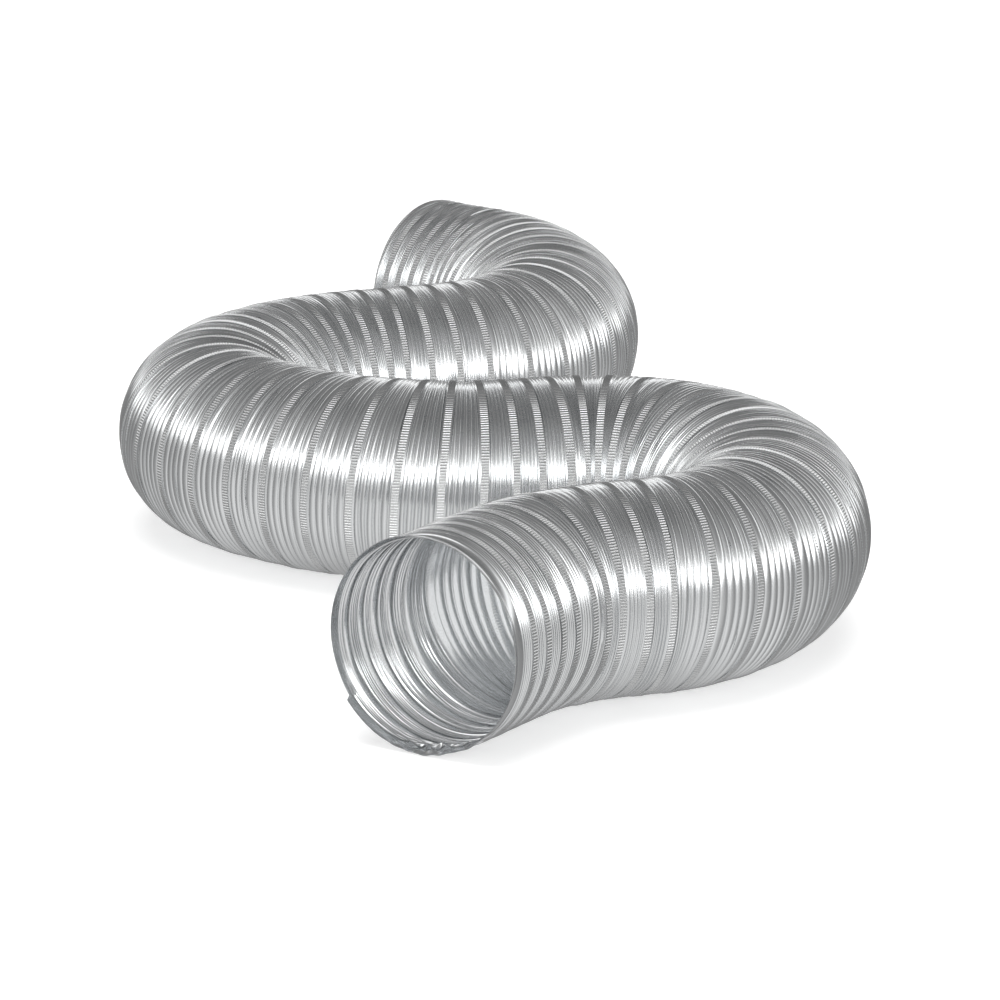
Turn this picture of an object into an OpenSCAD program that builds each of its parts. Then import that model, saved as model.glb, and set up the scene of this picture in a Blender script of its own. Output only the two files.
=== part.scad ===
// Flexible air duct: one aluminium strip, corrugated and wound into a four inch hose,
// lying in three loose bends. It is held here as a run of short sections, each cut
// through the folded lock seams that join one turn of the strip to the next.
// X runs across the bends, Y runs from the front mouth towards the rear mouth, Z is up.

/* [Duct] */
// Bore of the duct, which slides over a four inch spigot
bore_d = 102; // [100:0.5:104]
// Outside diameter over the lock seams
seam_d = 108; // [107:0.5:110]
// Outside diameter over the corrugations between two seams
wave_d = 106.8; // [105:0.2:106.8]
// Width of one lock seam along the duct
seam_w = 2.6; // [2:0.2:4]

/* [Sections] */
// Length of one section along the centreline, with its share of the gaps
section_len = 40; // [38:1:44]
// Clear slot between two neighbouring sections
gap = 0.4; // [0.3:0.1:0.8]

/* [Route] */
// Direction of the duct as it leaves the front mouth, anticlockwise from +X
start_heading = 57; // [40:1:70]

/* [Hidden] */
$fn = 96;

// Turn of each section in degrees, front to rear, left turns positive
front_limb = [0, 0, -28, -8];
right_bend = [26, 20, 16, 12, 20, 24, 28, 30];
left_bend = [-8, -24, -16, -10, -18, -28, -20, -22, -20, -12];
rear_bend = [8, 26, 20, 14, 12, 18, 22, 0];
turns = concat(front_limb, right_bend, left_bend, rear_bend);
sections = len(turns);

seam_r = seam_d / 2;
wave_r = wave_d / 2;
bore_r = bore_d / 2;
arc_len = section_len - gap;
groove_clear = 2;
samples = 4;

function ahead(angle) = [cos(angle), sin(angle)];
function leftward(angle) = [-sin(angle), cos(angle)];
function bend_radius(k) = arc_len * 180 / (PI * abs(turns[k]));

// Chord of the first part of section k, where part runs from 0 to 1
function chord(k, part) =
    turns[k] == 0 ? arc_len * part : 2 * bend_radius(k) * sin(abs(turns[k]) * part / 2);

// Heading at the start of each section
headings = [for (k = 0, h = start_heading; k < sections; h = h + turns[k], k = k + 1) h];

// Centreline point of section k, where part runs from 0 to 1 along its arc
function point_on(k, start, part) =
    start + gap / 2 * ahead(headings[k])
    + chord(k, part) * ahead(headings[k] + turns[k] * part / 2);

// Where the next section starts, half a gap past the end of this one
function next_start(k, start) = point_on(k, start, 1) + gap / 2 * ahead(headings[k] + turns[k]);

// Start of each section, with the front mouth at 0, 0
starts = [for (k = 0, p = [0, 0]; k < sections; p = next_start(k, p), k = k + 1) p];

// Points along both side walls, which give the outline seen from above
walls = [
    for (k = [0 : sections - 1], i = [0 : samples], side = [-1, 1])
        point_on(k, starts[k], i / samples)
        + side * seam_r * leftward(headings[k] + turns[k] * i / samples)
];
low = [min([for (p = walls) p.x]), min([for (p = walls) p.y])];
high = [max([for (p = walls) p.x]), max([for (p = walls) p.y])];
centre = (low + high) / 2;

// Ring of wall between two distances along section k, from its own start
module ring(k, from, to, outer_r, inner_r) {
    if (turns[k] == 0) {
        translate([from, 0, 0]) rotate([0, 90, 0])
            difference() {
                cylinder(r = outer_r, h = to - from);
                translate([0, 0, -1]) cylinder(r = inner_r, h = to - from + 2);
            }
    } else {
        left = turns[k] > 0;
        degrees = abs(turns[k]) / arc_len;
        first = left ? from * degrees - 90 : 90 - to * degrees;
        translate([0, (left ? 1 : -1) * bend_radius(k), 0])
            rotate([0, 0, first])
                rotate_extrude(angle = (to - from) * degrees)
                    translate([bend_radius(k), 0])
                        difference() {
                            circle(r = outer_r);
                            circle(r = inner_r);
                        }
    }
}

// One section of wall: a lock seam at each end and one at the middle,
// with the corrugated bands between them a little lower
module section(k) {
    middle = arc_len / 2;
    translate([starts[k].x - centre.x, starts[k].y - centre.y, seam_r])
        rotate([0, 0, headings[k]])
            translate([gap / 2, 0, 0])
                difference() {
                    ring(k, 0, arc_len, seam_r, bore_r);
                    ring(k, seam_w / 2, middle - seam_w / 2, seam_r + groove_clear, wave_r);
                    ring(k, middle + seam_w / 2, arc_len - seam_w / 2, seam_r + groove_clear, wave_r);
                }
}

// The mouths are plain straight ends; every other section follows its own arc
module mouth(k) {
    color("silver") section(k);
}

module limb(k) {
    color("gainsboro") section(k);
}

for (k = [0, sections - 1])
    mouth(k);
for (k = [1 : sections - 2])
    limb(k);
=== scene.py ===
# %% [markdown]
# # A semi-rigid aluminium air duct
# The real duct is one long strip of thin aluminium. The strip is corrugated, wound into a
# tube like a spring, and each turn is locked to the next by a folded seam that a toothed
# wheel presses flat. Pulled, the folds open; pushed or bent, they close up. This lesson
# builds that tube as one mathematical surface, cut into pieces that follow the joints of
# the CAD model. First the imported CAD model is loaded, because it fixes every place and size.

# %% Load the frame
import bmesh
import bpy
import numpy as np
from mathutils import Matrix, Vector


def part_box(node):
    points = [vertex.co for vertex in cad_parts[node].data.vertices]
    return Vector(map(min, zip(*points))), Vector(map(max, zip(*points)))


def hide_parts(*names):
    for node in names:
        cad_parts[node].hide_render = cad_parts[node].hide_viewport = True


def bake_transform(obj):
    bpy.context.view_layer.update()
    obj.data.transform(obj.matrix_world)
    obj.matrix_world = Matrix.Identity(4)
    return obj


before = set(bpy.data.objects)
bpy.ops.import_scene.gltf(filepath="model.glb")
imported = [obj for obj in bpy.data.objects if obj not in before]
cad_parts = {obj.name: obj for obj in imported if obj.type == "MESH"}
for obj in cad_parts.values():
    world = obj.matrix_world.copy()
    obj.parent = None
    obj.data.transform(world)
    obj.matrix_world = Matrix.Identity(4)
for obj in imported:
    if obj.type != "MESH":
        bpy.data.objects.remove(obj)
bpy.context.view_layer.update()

# %% [markdown]
# ## The camera
# The camera stands about three metres in front and less than a metre up, and looks down at
# 14 degrees through a long lens. A long lens keeps the far limb nearly as large as the near
# one, as a product view does. It could be placed by eye, but a measured place is repeatable.

# %% Camera
camera = bpy.data.objects.new("camera", bpy.data.cameras.new("camera"))
bpy.context.scene.collection.objects.link(camera)
camera.location = (0.0254, -3.1781, 0.8435)
camera.rotation_euler = np.radians((75.51, 0.0, 0.3))
camera.data.lens = 216.0
camera.data.sensor_width = 36.0
bpy.context.scene.camera = camera
print("camera at", tuple(camera.location))

# %% [markdown]
# ## The route of the duct
# The centre line lies level, 54 mm above the floor, and is a chain of 30 arcs of 40 mm. Each
# arc turns by a whole number of degrees, to the left when the number is positive. Between
# the arcs the CAD leaves a 0.4 mm slot, where the line is straight. Adding up the turning
# gives the heading, and adding up the heading gives the place: an integral by small steps.

# %% Route numbers
SECTION = 0.040
SLOT = 0.0004
RADIUS = 0.054
START_HEADING = 57.0
FRONT_LIMB = [0, 0, -28, -8]
RIGHT_BEND = [26, 20, 16, 12, 20, 24, 28, 30]
LEFT_BEND = [-8, -24, -16, -10, -18, -28, -20, -22, -20, -12]
REAR_BEND = [8, 26, 20, 14, 12, 18, 22, 0]
TURNS = np.array(FRONT_LIMB + RIGHT_BEND + LEFT_BEND + REAR_BEND, float)
LENGTH = SECTION * len(TURNS)
NAMES = ["front_mouth"]
NAMES += [f"front_limb_{i}" for i in (1, 2, 3)]
NAMES += [f"right_bend_{i}" for i in range(1, 9)]
NAMES += [f"left_bend_{i}" for i in range(1, 11)]
NAMES += [f"rear_bend_{i}" for i in range(1, 8)]
NAMES += ["rear_mouth"]
print(len(NAMES), "sections,", round(LENGTH, 3), "m of centre line")

# %% Centre line
STEP = 0.0001
RUN_OUT = 0.06
s_line = np.arange(-RUN_OUT, LENGTH + RUN_OUT + STEP / 2, STEP)
s_mid = s_line[:-1] + STEP / 2
section_of = np.clip((s_mid // SECTION).astype(int), 0, len(TURNS) - 1)
in_section = s_mid - section_of * SECTION
on_arc = (in_section > SLOT / 2) & (in_section < SECTION - SLOT / 2)
curvature = np.where(on_arc, np.radians(TURNS[section_of]) / (SECTION - SLOT), 0.0)
heading_line = np.radians(START_HEADING) + np.concatenate([[0.0], np.cumsum(curvature * STEP)])
heading_mid = (heading_line[1:] + heading_line[:-1]) / 2
x_line = np.concatenate([[0.0], np.cumsum(np.cos(heading_mid) * STEP)])
y_line = np.concatenate([[0.0], np.cumsum(np.sin(heading_mid) * STEP)])


def box_centre(node):
    """Half way between the lowest and the highest corner of a CAD node."""
    low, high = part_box(node)
    return (np.array(low) + np.array(high)) / 2


# The first section is straight, so the middle of its box is the line's point 20 mm in.
mouth_centre = box_centre("front_mouth")
x_line += mouth_centre[0] - np.interp(SECTION / 2, s_line, x_line)
y_line += mouth_centre[1] - np.interp(SECTION / 2, s_line, y_line)
rear_s = LENGTH - SECTION / 2
rear_miss = box_centre("rear_mouth")[:2] - (
    np.interp(rear_s, s_line, x_line),
    np.interp(rear_s, s_line, y_line),
)
print("the line misses the rear mouth's middle by", np.round(rear_miss * 1000, 3), "mm")

# %% [markdown]
# ## A point on the tube
# Every point of the foil is given by three numbers: how far along the centre line it is, the
# angle around, counted from straight up towards the left of the way ahead, and its distance
# from the centre line. On a bend the outer wall is longer than the centre line and the inner
# wall is shorter. That stretch is 1 minus curvature times radius times the sine of the angle.

# %% Tube point and stretch
CURVE_SPREAD = 0.020
kernel = np.ones(int(CURVE_SPREAD / STEP)) / int(CURVE_SPREAD / STEP)
soft_curvature = np.convolve(curvature, kernel, mode="same")


def tube_point(s, angle, rho):
    """Centre line point, plus rho times (cosine of angle up + sine of angle leftward)."""
    heading = np.interp(s, s_line, heading_line)
    x = np.interp(s, s_line, x_line) - np.sin(heading) * np.sin(angle) * rho
    y = np.interp(s, s_line, y_line) + np.cos(heading) * np.sin(angle) * rho
    return np.stack([x, y, RADIUS + np.cos(angle) * rho], axis=-1)


def stretch(s, angle):
    """Length on the wall for each length on the centre line: 1 - curvature radius sine."""
    bend = np.interp(s, s_mid, soft_curvature)
    return 1.0 - bend * RADIUS * np.sin(angle)


print("stretch on the tightest bend:", round(float(stretch(s_line, np.pi / 2).min()), 2))

# %% [markdown]
# ## How far each turn of the strip is opened
# One turn of the strip is short where the duct was left pushed together and long where it
# was pulled open. The spacing of the seams is listed for each section, and smoothed between
# them. Dividing each small step by the spacing there and adding up counts the turns, and
# reading that table backwards gives the place of a seam from its turn number.

# %% Seam spacing
FRONT_PITCH = [12.0, 14.0, 26.0, 16.0]
RIGHT_PITCH = [17.0, 21.0, 22.0, 22.0, 23.0, 23.5, 21.0, 16.5]
LEFT_PITCH = [12.0, 15.0, 19.5, 20.5, 19.0, 19.0, 18.0, 17.0, 15.5, 13.0]
REAR_PITCH = [14.5, 17.5, 18.0, 20.0, 22.0, 18.0, 11.0, 9.5]
PITCH = np.array(FRONT_PITCH + RIGHT_PITCH + LEFT_PITCH + REAR_PITCH) / 1000.0
PITCH_NOISE = 0.07
STEP_ANGLE = np.radians(128.0)
EDGE_TURN = -0.20


def ripple(s, angle, seed, shortest, longest, lobes, waves=14):
    """Sum of sine waves along and around the duct, scaled to stay near -1 to 1. Each has a
    whole number of lobes around, so the pattern closes on itself."""
    rng = np.random.default_rng(seed)
    total = 0.0
    for _ in range(waves):
        length = rng.uniform(shortest, longest)
        around = rng.integers(-lobes, lobes + 1)
        total = total + np.sin(2 * np.pi * s / length + around * angle + rng.uniform(0, 7))
    return total / np.sqrt(2.0 * waves)


section_middles = (np.arange(len(PITCH)) + 0.5) * SECTION
pitch_line = np.interp(s_mid, section_middles, PITCH)
pitch_line *= 1.0 + PITCH_NOISE * ripple(s_mid, 0.0, 5, 0.018, 0.07, 0)
turn_line = np.concatenate([[0.0], np.cumsum(STEP / pitch_line)])
turn_line += EDGE_TURN + STEP_ANGLE / (2 * np.pi) - np.interp(0.0, s_line, turn_line)


def seam_place(turn):
    """Distance along the centre line at which the seam has made that many turns."""
    return np.interp(turn, turn_line, s_line)


def turn_at(s):
    """How many turns the strip has made by that distance along the centre line."""
    return np.interp(s, s_line, turn_line)


print("turns of strip in the duct:", round(float(turn_at(LENGTH) - turn_at(0.0)), 1))

# %% [markdown]
# ## The folds across the strip
# Across its width, between one seam and the next, the strip has five ridges with a narrow
# groove on each side of every ridge. The rows of the grid are laid on the folds themselves:
# one at each groove, two shoulders on each side of a ridge and one on its top. So a fold is
# sharp with few rows. Each shoulder lies a set share of the groove's depth below the top. In
# a fold that is pushed shut the shoulders lie lower and further in than in one that is open.

# %% Rows across the strip
GROOVES = [0.04, 0.25, 0.43, 0.61, 0.79, 0.96]
LOW_SHOULDER, HIGH_SHOULDER = 0.10, 0.24
LOW_MOVE, HIGH_MOVE = 0.04, 0.06
LOW_OPEN, LOW_CLOSED = 0.58, 0.68
HIGH_OPEN, HIGH_CLOSED = 0.20, 0.28
SEAM_DROP = 0.30
TOP_OF_RIDGE = -1


def fold_rows():
    """One turn's rows: place across from 0 to 1, number of the groove or -1 for the top of a
    ridge, share of the depth when open and when closed, and the move inwards if closed."""
    last = len(GROOVES) - 1
    rows = [(0.0, 0, SEAM_DROP, SEAM_DROP, 0.0)]
    for k, (a, b) in enumerate(zip(GROOVES[:-1], GROOVES[1:])):
        low, high = LOW_SHOULDER * (b - a), HIGH_SHOULDER * (b - a)
        low_move, high_move = LOW_MOVE * (b - a), HIGH_MOVE * (b - a)
        rows.append((a, k, 1.0, 1.0, 0.0))
        rows.append((a + low, k, LOW_OPEN, LOW_CLOSED, low_move))
        rows.append((a + high, k, HIGH_OPEN, HIGH_CLOSED, high_move))
        rows.append(((a + b) / 2, TOP_OF_RIDGE, 0.0, 0.0, 0.0))
        rows.append((b - high, k + 1, HIGH_OPEN, HIGH_CLOSED, -high_move))
        rows.append((b - low, k + 1, LOW_OPEN, LOW_CLOSED, -low_move))
    rows.append((GROOVES[-1], last, 1.0, 1.0, 0.0))
    rows.append((1.0, last, SEAM_DROP, SEAM_DROP, 0.0))
    return np.array(rows).T


ACROSS, GROOVE, OPEN_DROP, CLOSED_DROP, INWARD = fold_rows()
GROOVE = GROOVE.astype(int)
print("rows for one turn of the strip:", len(ACROSS))

# %% [markdown]
# ## How deep the folds are
# A ridge's width on the wall decides how far its fold is open, and so how deep its grooves
# are: shallow where the folds are packed tight or pulled flat, and deepest in between. The
# hand never leaves foil even, so the depths, the places and the wall itself also get small
# waves, with random phases that are the same on every run.

# %% Depth of the folds
CREST_RADIUS = 0.0538
RIDGE_SHARE = 0.185
RIDGE_WIDTHS = [0.0005, 0.0010, 0.0020, 0.0035, 0.0060]
FOLD_DEPTHS = [0.0006, 0.0010, 0.0013, 0.0014, 0.0011]
OPEN_WIDTH, CLOSED_WIDTH = 0.0045, 0.0015
LONG_DENT, SHORT_DENT = 0.00028, 0.00010
PLACE_WAVES = [(1, 0.006), (2.3, 0.008), (5.1, 0.004)]
DEPTH_WAVES = [(0.7, 0.16), (1.9, 0.14), (4.3, 0.08)]
LIFT_WAVES = [(1.3, 5e-5), (3.1, 5e-5), (7.7, 3e-5)]


def fold_depth(wide):
    """Depth of a groove beside a ridge that wide, read from the list above."""
    return np.interp(wide, RIDGE_WIDTHS, FOLD_DEPTHS)


def closedness(wide):
    """1 for a fold that is pushed shut, 0 for one that is pulled open, straight between."""
    return np.clip((OPEN_WIDTH - wide) / (OPEN_WIDTH - CLOSED_WIDTH), 0.0, 1.0)


def strip_noise(turn, kind, seed, amounts):
    """For each row's kind, a sum of sine waves along the strip, with its own phases."""
    rng = np.random.default_rng(seed)
    total = np.zeros(np.broadcast(turn, kind).shape)
    for waves_a_turn, amount in amounts:
        phases = rng.uniform(0, 2 * np.pi, len(GROOVES) + 1)
        total += amount * np.sin(2 * np.pi * waves_a_turn * turn + phases[kind])
    return total


def dents(s, angle):
    """Handling marks: long soft waves of a few tenths of a millimetre and shorter small ones."""
    long_waves = LONG_DENT * ripple(s, angle, 21, 0.03, 0.12, 5)
    return long_waves + SHORT_DENT * ripple(s, angle, 22, 0.008, 0.02, 14)


print("fold depth at 1 and 4 mm, in mm:", fold_depth(np.array([0.001, 0.004])) * 1000)

# %% [markdown]
# ## The lock seam
# Where two turns meet, their edges are folded into each other and pressed flat by a toothed
# wheel, so the seam is a band of four layers with short ridges across it. It could be a bump
# in the material, but the teeth show in outline and in the foil's reflections, so they are
# real shape: a flat ribbon that runs along the seam and whose corners rise and fall.

# %% Seam numbers
SEAM_HALF = 0.0019
SEAM_OUTER, SEAM_INNER = 0.05405, 0.0530
TOOTH = 0.00052
TEETH_A_TURN = 220
POINTS_A_TOOTH = 3
MOST_SEAM = 0.28


def seam_half(s, angle):
    """Half the seam's width, counted along the centre line: the width over the stretch."""
    pitch = np.interp(s, s_mid, pitch_line)
    return np.minimum(SEAM_HALF / stretch(s, angle), MOST_SEAM * pitch)


print("tooth spacing, mm:", round(2 * np.pi * RADIUS / TEETH_A_TURN * 1000, 2))

# %% [markdown]
# ## The wall as a grid
# Rows of the grid run along the strip's folds, columns run along the duct. On a column, one
# turn of rows lies between a seam and the next. The last column is the first one again, one
# turn further on, so the grid closes by itself when equal points are merged. The mouth's
# edge is cut from the strip at a slant, so it climbs by part of a turn's width around the
# mouth and ends in a step. The last folds before the edge are rolled flat.

# %% Mouth edges and wall grid
FOIL = 0.0003
CLIMB = 0.30
PLAIN_EDGE, PLAIN_FADE = 0.0030, 0.003
EDGE_FLARE, EDGE_DROP, EDGE_WAVES = 0.0011, 0.0005, 0.0003
CRUSH_DEPTH, CRUSH_EVEN = 0.0022, 0.6
CRUSH_ANGLE, CRUSH_SPREAD = np.radians(190), np.radians(24)
CRUSH_PLACE, CRUSH_LENGTH = 0.006, 0.007


def front_edge(angle):
    """Where the foil's first edge lies: it climbs around the mouth, from the step on."""
    around = np.mod(angle - STEP_ANGLE, 2 * np.pi) + STEP_ANGLE
    return CLIMB * np.maximum(seam_place(EDGE_TURN + around / (2 * np.pi)), 0.0)


def crumple(s, angle, rho):
    """Near the front edge the folds are rolled flat, and the bottom is crushed a little."""
    from_edge = s - front_edge(angle)
    plain = np.clip((from_edge - PLAIN_EDGE) / PLAIN_FADE, 0, 1)
    flare = EDGE_FLARE * np.clip(1.0 - from_edge / PLAIN_EDGE, 0, 1)
    waves = EDGE_WAVES * ripple(s, angle, 31, 0.006, 0.02, 9)
    rolled = CREST_RADIUS - EDGE_DROP + flare + waves
    rho = rolled + (rho - rolled) * plain
    low_side = np.exp(-(((angle - CRUSH_ANGLE) / CRUSH_SPREAD) ** 2))
    near = np.exp(-(((from_edge - CRUSH_PLACE) / CRUSH_LENGTH) ** 2))
    return rho - CRUSH_DEPTH * low_side * near * (CRUSH_EVEN + ripple(s, angle, 32, 0.004, 0.011, 40))


def wall_rows(s_from, s_to, columns):
    """Grid of distance along, angle, radius and turn for all rows that the cut touches."""
    turns = np.arange(int(turn_at(s_from)) - 2, int(turn_at(s_to)) + 2)
    turn = np.repeat(turns, len(ACROSS))[:, None]
    rows = (ACROSS, GROOVE, OPEN_DROP, CLOSED_DROP, INWARD)
    rows = [np.tile(row, len(turns))[:, None] for row in rows]
    across, groove, open_drop, closed_drop, inward = rows
    angle = np.linspace(0, 2 * np.pi, columns + 1)[None, :]
    along = turn + angle / (2 * np.pi)
    here, after = seam_place(along), seam_place(along + 1)
    left = here + seam_half(here, angle)
    right = after - seam_half(after, angle)
    inner_row = (across > 0.0) & (across < 1.0)
    shift = strip_noise(along, groove, 11, PLACE_WAVES)
    wide = RIDGE_SHARE * (right - left) * stretch(here, angle)
    closed = closedness(wide)
    across = across + shift * (inner_row & (groove >= 0)) + inward * closed
    s = left + across * (right - left)
    uneven = 1.0 + strip_noise(along, groove, 12, DEPTH_WAVES)
    lift = strip_noise(along, groove, 13, LIFT_WAVES)
    share = open_drop + (closed_drop - open_drop) * closed
    rho = CREST_RADIUS - fold_depth(wide) * share * uneven + lift * (share < 1.0)
    rho = rho + dents(s, angle)
    if s_from <= 0.0:
        rho = crumple(s, angle, rho)
    return s, np.broadcast_to(angle, s.shape), rho, along + across * 0.0


probe = wall_rows(0.10, 0.14, 64)
print("rows in one 40 mm piece:", probe[0].shape[0])

# %% [markdown]
# ## Cutting the surface into pieces
# A piece runs from the middle of one CAD section to the middle of the next, so that each
# joint bends the middle of a piece and never its ends. Rows beyond a cut are laid on the cut,
# at the height the surface has there. They fall on one another and vanish in the merge. The
# normals are worked out before the cut and carried with the points, so that the shine runs
# on from piece to piece with no line between them.

# %% Cut and normals
def unit(v):
    """Each vector divided by its length."""
    return v / np.maximum(np.linalg.norm(v, axis=-1, keepdims=True), 1e-12)


def grid_normals(points):
    """Cross product of the step from row to row and the step from column to column."""
    return unit(np.cross(np.gradient(points, axis=0), np.gradient(points, axis=1)))


def at_cut(s, values, cut):
    """values where each column of s reaches the cut, by straight interpolation."""
    below = np.clip((s < cut).sum(axis=0) - 1, 0, s.shape[0] - 2)[None, :]
    s0 = np.take_along_axis(s, below, 0)
    s1 = np.take_along_axis(s, below + 1, 0)
    share = np.clip((cut - s0) / np.maximum(s1 - s0, 1e-9), 0, 1)
    if values.ndim == 3:
        below, share = below[..., None], share[..., None]
    v0 = np.take_along_axis(values, below, 0)
    v1 = np.take_along_axis(values, below + 1, 0)
    return v0 + share * (v1 - v0)


def lay_on_cuts(s, rho, normals, low, high):
    """Rows before low and after high are laid on the cut."""
    for cut, beyond in ((low, s < low), (high, s > high)):
        rho_cut, normal_cut = at_cut(s, rho, cut), at_cut(s, normals, cut)
        rho = np.where(beyond, rho_cut, rho)
        normals = np.where(beyond[..., None], normal_cut, normals)
    return np.clip(s, low, high), rho, unit(normals)


# %% Faces
def grid_faces(rows, columns, first):
    """Quads of a grid whose corners run up the rows first, so that they face outwards."""
    i = first + np.arange(rows * columns).reshape(rows, columns)
    quads = [i[:-1, :-1], i[1:, :-1], i[1:, 1:], i[:-1, 1:]]
    return np.stack(quads, axis=-1).reshape(-1, 4)


def rim_faces(outer, inner):
    """Quads between the end ring of the outer wall and that of the inner wall."""
    return np.stack([outer[:-1], outer[1:], inner[1:], inner[:-1]], axis=-1)


STRIP_TURN = 2 * np.pi * RADIUS
STRIP_WIDE = 0.036
SEAM_OVERRUN = 0.6


def make_wall(s_from, s_to, columns):
    """Outer wall, inner wall one foil inside it, and a rim at both cuts."""
    s, angle, rho, along = wall_rows(s_from, s_to, columns)
    normals = grid_normals(tube_point(s, angle, rho))
    low = front_edge(angle[:1]) if s_from <= 0.0 else np.full_like(angle[:1], s_from)
    s, rho, normals = lay_on_cuts(s, rho, normals, low, np.full_like(low, s_to))
    rows, wide = s.shape
    outer = tube_point(s, angle, rho).reshape(-1, 3)
    inner = tube_point(s, angle, rho - FOIL).reshape(-1, 3)
    count = rows * wide
    skin = grid_faces(rows, wide, 0)
    lining = skin[:, ::-1] + count
    first, last = np.arange(wide), np.arange(count - wide, count)
    rims = [rim_faces(first, first + count), rim_faces(last, last + count)[:, ::-1]]
    row_place = np.arange(rows)[:, None] / len(ACROSS) * STRIP_WIDE
    place = np.stack([along * STRIP_TURN, np.broadcast_to(row_place, s.shape)], axis=-1)
    place = place.reshape(-1, 2)
    return {
        "points": np.concatenate([outer, inner]),
        "normals": np.concatenate([normals.reshape(-1, 3), -normals.reshape(-1, 3)]),
        "faces": np.concatenate([skin, lining, *rims]),
        "place": np.concatenate([place, place]),
    }


def make_seam(s_from, s_to):
    """A ribbon along the seam: its four corners rise and fall with the teeth."""
    past_step = 1.0 + STEP_ANGLE / (2 * np.pi)
    start = turn_at(s_from) - SEAM_OVERRUN if s_from > 0 else past_step
    per_turn = POINTS_A_TOOTH * TEETH_A_TURN
    index = np.arange(int(start * per_turn), int((turn_at(s_to) + SEAM_OVERRUN) * per_turn))
    turn = index / per_turn
    angle = 2 * np.pi * turn
    s_middle = seam_place(turn)
    half = seam_half(s_middle, angle)
    wave = 2 * np.pi * index / POINTS_A_TOOTH
    low_tooth = TOOTH * (1 - np.cos(wave)) / 2
    slope = TOOTH / 2 * np.sin(wave) * TEETH_A_TURN / RADIUS
    side = np.array([-1, 1, 1, -1, -1])[:, None]
    outside = np.array([1, 1, 0, 0, 1])[:, None]
    low = front_edge(angle) if s_from <= 0.0 else s_from
    s = np.clip(s_middle + side * half, low, s_to)
    rho = outside * (SEAM_OUTER - low_tooth) + (1 - outside) * (SEAM_INNER + low_tooth)
    rho = rho + dents(s, angle)
    across = side * SEAM_HALF + np.zeros_like(s)
    place = np.stack([turn * STRIP_TURN + np.zeros_like(s), across], axis=-1)
    angle = angle + np.zeros_like(s)
    points = tube_point(s, angle, rho)
    outward = tube_point(s, angle, 1.0) - tube_point(s, angle, 0.0)
    sideways = tube_point(s, angle + np.pi / 2, 1.0) - tube_point(s, angle + np.pi / 2, 0.0)
    face = (2 * outside - 1)[..., None]
    normals = face * unit(outward + (face[..., 0] * slope)[..., None] * sideways)
    return {
        "points": points.reshape(-1, 3),
        "normals": normals.reshape(-1, 3),
        "faces": grid_faces(len(side), len(turn), 0),
        "place": place.reshape(-1, 2),
    }


# %% [markdown]
# ## The finish
# Mill-finish aluminium is foil as it leaves the rolling mill: bright, but not a mirror. The
# rolls leave very fine lines along the strip, which blur the reflection across them. It is a
# metal, so its colour is the colour of its reflections. The fine lines are drawn 0.3 mm
# apart, coarser than real ones, so that they show. The pressed seam is a little rougher.

# %% Colour and node helpers
def srgb(code):
    """Linear red, green, blue and 1 from a hex code such as C9CBCC."""
    values = np.array([int(code[i : i + 2], 16) for i in (0, 2, 4)]) / 255.0
    linear = np.where(values <= 0.04045, values / 12.92, ((values + 0.055) / 1.055) ** 2.4)
    return (*linear.tolist(), 1.0)


def add_node(tree, kind, settings=None, inputs=None):
    """A node of that kind. An input is a value, or a socket that is linked to it."""
    node = tree.nodes.new(kind)
    for name, value in (settings or {}).items():
        setattr(node, name, value)
    for name, value in (inputs or {}).items():
        if isinstance(value, bpy.types.NodeSocket):
            tree.links.new(value, node.inputs[name])
        else:
            node.inputs[name].default_value = value
    return node


# %% Aluminium
LINE_SPACING = 0.0003
LINE_LENGTH = 0.020
LINE_RELIEF = 0.00003
CLOUDS_A_METRE = 45.0


def aluminium(name, bright, dull, smooth, rough):
    """Metal whose colour drifts between two greys and whose roughness follows the lines."""
    material = bpy.data.materials.new(name)
    material.use_nodes = True
    tree = material.node_tree
    tree.nodes.clear()
    place = add_node(tree, "ShaderNodeUVMap", {"uv_map": "strip"})
    scale = (1 / LINE_LENGTH, 1 / LINE_SPACING, 1.0)
    lines_at = add_node(
        tree, "ShaderNodeMapping", None, {"Vector": place.outputs[0], "Scale": scale}
    )
    lines = add_node(
        tree,
        "ShaderNodeTexNoise",
        {"noise_dimensions": "2D"},
        {"Vector": lines_at.outputs[0], "Scale": 1.0, "Detail": 2.0},
    )
    where = add_node(tree, "ShaderNodeTexCoord")
    clouds = add_node(
        tree,
        "ShaderNodeTexNoise",
        None,
        {"Vector": where.outputs["Object"], "Scale": CLOUDS_A_METRE, "Detail": 4.0},
    )
    colour = add_node(
        tree,
        "ShaderNodeMix",
        {"data_type": "RGBA"},
        {0: clouds.outputs[0], 6: srgb(dull), 7: srgb(bright)},
    )
    both = add_node(
        tree, "ShaderNodeMath", {"operation": "ADD"}, {0: lines.outputs[0], 1: clouds.outputs[0]}
    )
    roughness = add_node(
        tree,
        "ShaderNodeMapRange",
        None,
        {"Value": both.outputs[0], 1: 0.6, 2: 1.4, 3: smooth, 4: rough},
    )
    relief = add_node(
        tree,
        "ShaderNodeBump",
        None,
        {"Strength": 0.25, "Distance": LINE_RELIEF, "Height": lines.outputs[0]},
    )
    shader = add_node(
        tree,
        "ShaderNodeBsdfPrincipled",
        None,
        {
            "Base Color": colour.outputs[2],
            "Metallic": 1.0,
            "Roughness": roughness.outputs[0],
            "Normal": relief.outputs[0],
        },
    )
    output = add_node(tree, "ShaderNodeOutputMaterial", None, {"Surface": shader.outputs[0]})
    print(material.name, "has", len(tree.nodes), "nodes, ending in", output.bl_label)
    return material


mill_finish = aluminium("mill_finish_aluminium_foil", "EDEEEF", "E1E3E4", 0.16, 0.26)
pressed_seam = aluminium("knurled_aluminium_lock_seam", "F0F1F1", "E4E5E6", 0.20, 0.28)

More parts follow.
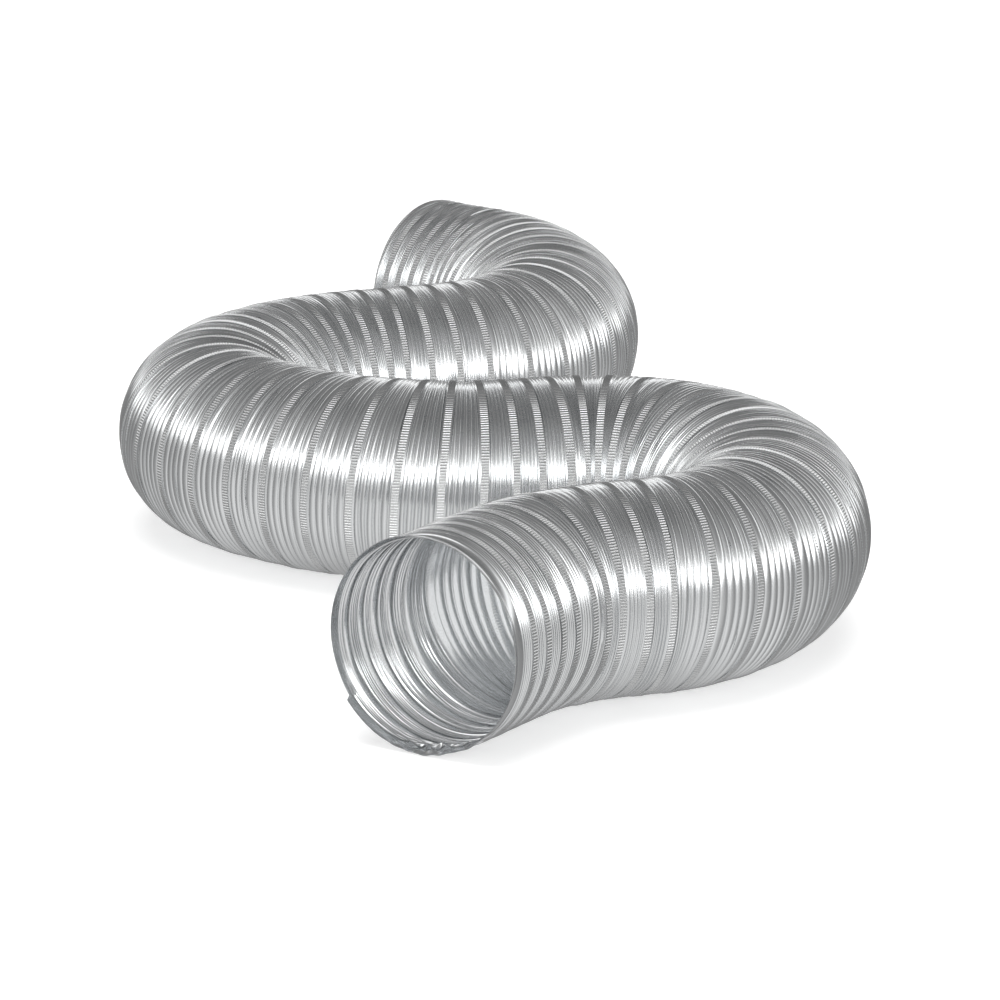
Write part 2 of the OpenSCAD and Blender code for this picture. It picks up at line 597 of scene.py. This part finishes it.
# %% [markdown]
# ## Making the pieces
# A piece is one mesh: the wall and its seam ribbon. Equal points are merged, which closes the
# tube, drops the rows that were laid on a cut and closes the ribbon's ends. The wall is shaded
# smooth with the carried normals, which lean with the folds and with the teeth.

# %% Mesh from arrays
MERGE = 0.000002
SQUARE = 0.15


def make_mesh(name, wall, seam):
    """One mesh of both parts, with their places on the strip as a UV map."""
    shift = len(wall["points"])
    points = np.concatenate([wall["points"], seam["points"]])
    faces = np.concatenate([wall["faces"], seam["faces"] + shift])
    place = np.concatenate([wall["place"], seam["place"]])
    normals = np.concatenate([wall["normals"], seam["normals"]])
    on_seam = np.arange(len(faces)) >= len(wall["faces"])
    mesh = bpy.data.meshes.new(name)
    mesh.from_pydata(points.tolist(), [], faces.tolist())
    mesh.materials.append(mill_finish)
    mesh.materials.append(pressed_seam)
    mesh.polygons.foreach_set("material_index", on_seam.astype(np.int32))
    mesh.polygons.foreach_set("use_smooth", np.ones(len(faces), bool))
    strip = mesh.uv_layers.new(name="strip")
    strip.data.foreach_set("uv", place[faces.ravel()].astype(np.float32).ravel())
    carried = mesh.attributes.new("carried_normal", "FLOAT_VECTOR", "POINT")
    carried.data.foreach_set("vector", normals.astype(np.float32).ravel())
    merge_points(mesh)
    return mesh


def read(items, field, wide, kind):
    """A field of every item of a mesh, as an array with that many columns."""
    values = np.zeros(len(items) * wide, kind)
    items.foreach_get(field, values)
    return values.reshape(-1, wide)


def merge_points(mesh):
    """Merges equal points. A corner then takes its point's carried normal, or its own face's
    normal on the rims and on the ribbon's sides, which stand square to the carried one."""
    edit = bmesh.new()
    edit.from_mesh(mesh)
    bmesh.ops.remove_doubles(edit, verts=edit.verts, dist=MERGE)
    edit.to_mesh(mesh)
    edit.free()
    carried = read(mesh.attributes["carried_normal"].data, "vector", 3, np.float32)
    mesh.attributes.remove(mesh.attributes["carried_normal"])
    corner_point = read(mesh.loops, "vertex_index", 1, np.int32)[:, 0]
    corners_each = read(mesh.polygons, "loop_total", 1, np.int32)[:, 0]
    face_normal = np.repeat(read(mesh.polygons, "normal", 3, np.float32), corners_each, axis=0)
    point_normal = carried[corner_point]
    square_on = (point_normal * face_normal).sum(axis=1, keepdims=True) < SQUARE
    mesh.normals_split_custom_set(np.where(square_on, face_normal, point_normal))


# %% [markdown]
# ## The zones around the joints
# At every boundary between two CAD sections there is a joint, and a piece crosses one
# boundary. Around it lies a zone, in which the points would turn from one body to the other.
# The zone has to end before the inner wall reaches the next cut, and on a tight bend the
# inner wall is short, so the zone is narrower there: half the inner wall's length, seen
# along the way ahead. This cell only works out and prints these half widths; it moves no point.

# %% Bending zones
WIDEST_ZONE = 0.0198


def zone_half(k):
    """Half the zone at the end of section k: the shorter inner wall of its two sections."""
    halves = [WIDEST_ZONE]
    for turn in np.radians(np.abs(TURNS[k : k + 2])):
        if turn > 0:
            halves.append(((SECTION - SLOT) / turn - RADIUS) * np.sin(turn / 2))
    return min(halves)


print("zone half widths, mm:", [round(zone_half(k) * 1000, 1) for k in range(len(TURNS) - 1)])

# %% Pieces
MOUTH_COLUMNS = 180
WALL_COLUMNS = 112
triangles = 0
for k in range(len(NAMES) - 1):
    begin = 0.0 if k == 0 else (k + 0.5) * SECTION
    finish = LENGTH if k == len(NAMES) - 2 else (k + 1.5) * SECTION
    columns = MOUTH_COLUMNS if begin == 0.0 else WALL_COLUMNS
    name = "foil_" + NAMES[k]
    mesh = make_mesh(name, make_wall(begin, finish, columns), make_seam(begin, finish))
    piece = bpy.data.objects.new(name, mesh)
    bpy.context.scene.collection.objects.link(piece)
    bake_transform(piece)
    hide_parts(NAMES[k])
    mesh.calc_loop_triangles()
    triangles += len(mesh.loop_triangles)
    print(name, len(mesh.vertices), "points,", len(mesh.loop_triangles), "triangles")
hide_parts(NAMES[-1])
print("triangles in all:", triangles)

# %% [markdown]
# ## Floor and light
# Polished foil shows mostly what surrounds it, so the surroundings are the light. The floor
# is white paper that the foil doesn't reflect. Instead the sky goes on below the horizon in
# an even light grey, which gives the undersides their tone whatever the floor is. Overhead
# the sky is dark grey, which darkens the tops, and some 20 degrees up it has a bright band
# all round, which draws the white line along the middle of every limb.

# %% Floor
FLOOR_HALF = 12.0
FLOOR_TOP = -0.0006
floor_mesh = bpy.data.meshes.new("floor")
corners = [(-FLOOR_HALF, -FLOOR_HALF), (FLOOR_HALF, -FLOOR_HALF)]
corners += [(FLOOR_HALF, FLOOR_HALF), (-FLOOR_HALF, FLOOR_HALF)]
floor_mesh.from_pydata([(x, y, FLOOR_TOP) for x, y in corners], [], [(0, 1, 2, 3)])
floor = bpy.data.objects.new("floor", floor_mesh)
bpy.context.scene.collection.objects.link(floor)
paper = bpy.data.materials.new("white_studio_paper")
paper.use_nodes = True
paper_shader = paper.node_tree.nodes["Principled BSDF"]
paper_shader.inputs["Base Color"].default_value = srgb("F2F2F2")
paper_shader.inputs["Roughness"].default_value = 0.9
paper_shader.inputs["Specular IOR Level"].default_value = 0.0
paper_shader.inputs["Emission Color"].default_value = srgb("FFFFFF")
paper_shader.inputs["Emission Strength"].default_value = 0.45
floor_mesh.materials.append(paper)
floor.visible_glossy = False
print("floor", 2 * FLOOR_HALF, "m square")

# %% [markdown]
# ## The sky
# The list gives the sky's level from straight down, 0, to straight up, 1. The horizon is at
# 0.5. The level is then lowered towards the back, and lowered to both sides, so that the
# flanks of the folds, which show the sides, stand out against the tops of the ridges.

# %% Sky
SKY = [
    (0.000, 0.82),
    (0.400, 0.80),
    (0.500, 0.72),
    (0.590, 0.86),
    (0.640, 3.20),
    (0.690, 3.60),
    (0.740, 1.15),
    (0.854, 0.48),
    (0.945, 0.37),
    (1.000, 0.22),
]
TOP_LEVEL = 3.6
FRONT_Y, BACK_Y, BACK_SHARE = -0.6, 0.8, 0.42
MIDDLE_X, SIDE_X, SIDE_SHARE = 0.2, 0.9, 0.58
world = bpy.data.worlds.new("studio_sky")
bpy.context.scene.world = world
world.use_nodes = True
sky = world.node_tree
sky.nodes.clear()


def sky_range(value, low, high, at_low, at_high):
    """A straight map from low..high to at_low..at_high, held level outside."""
    inputs = {"Value": value, 1: low, 2: high, 3: at_low, 4: at_high}
    return add_node(sky, "ShaderNodeMapRange", None, inputs).outputs[0]


def sky_math(operation, *values):
    """One sum on the sky's values."""
    inputs = dict(enumerate(values))
    return add_node(sky, "ShaderNodeMath", {"operation": operation}, inputs).outputs[0]


toward = add_node(sky, "ShaderNodeTexCoord")
parts = add_node(sky, "ShaderNodeSeparateXYZ", None, {0: toward.outputs["Generated"]})
across_x, along_y, up_z = parts.outputs
height = sky_range(up_z, -1.0, 1.0, 0.0, 1.0)
levels = add_node(sky, "ShaderNodeFloatCurve", None, {"Value": height})
curve = levels.mapping.curves[0]
for x, y in SKY[1:-1]:
    curve.points.new(x, y / TOP_LEVEL)
curve.points[0].location = (SKY[0][0], SKY[0][1] / TOP_LEVEL)
curve.points[len(SKY) - 1].location = (SKY[-1][0], SKY[-1][1] / TOP_LEVEL)
levels.mapping.update()
towards_back = sky_range(along_y, FRONT_Y, BACK_Y, TOP_LEVEL, BACK_SHARE * TOP_LEVEL)
strength = sky_math("MULTIPLY", levels.outputs[0], towards_back)
to_sides = sky_range(sky_math("ABSOLUTE", across_x), MIDDLE_X, SIDE_X, 1.0, SIDE_SHARE)
strength = sky_math("MULTIPLY", strength, to_sides)
glow = add_node(
    sky, "ShaderNodeBackground", None, {"Color": srgb("FFFFFF"), "Strength": strength}
)
add_node(sky, "ShaderNodeOutputWorld", None, {"Surface": glow.outputs[0]})
print("sky levels:", len(SKY))

# %% [markdown]
# ## The lamps
# A wide lamp overhead keeps the floor white and isn't seen in the foil. Light falls off fast
# down a metal tube, so a small lamp hangs inside the front limb, unseen by the camera. It
# faces the mouth, and the lining shows it.

# %% Lamps
INNER_LAMP_S, NEARER_MOUTH_S = 0.175, 0.165


def disk_lamp(name, size, watts, place):
    """A round flat lamp at that place, which shines straight down until it is turned."""
    light = bpy.data.lights.new(name, "AREA")
    light.shape = "DISK"
    light.size = size
    light.energy = watts
    lamp = bpy.data.objects.new(name, light)
    lamp.location = place
    bpy.context.scene.collection.objects.link(lamp)
    print(name, "gives", watts, "watts")
    return lamp


over_lamp = disk_lamp("floor_lamp", 3.0, 60.0, (0.0, 0.0, 3.0))
over_lamp.visible_glossy = False
lamp_place, mouth_side = (Vector(tube_point(s, 0.0, 0.0)) for s in (INNER_LAMP_S, NEARER_MOUTH_S))
inner_lamp = disk_lamp("inner_lamp", 0.098, 0.020, lamp_place)
inner_lamp.rotation_mode = "QUATERNION"
inner_lamp.rotation_quaternion = (mouth_side - lamp_place).to_track_quat("-Z", "Y")
inner_lamp.visible_camera = False
bpy.context.scene.view_settings.view_transform = "Standard"
# Inside the duct the light is handed on from wall to wall many times.
bpy.context.scene.cycles.glossy_bounces = 16
bpy.context.scene.cycles.max_bounces = 20
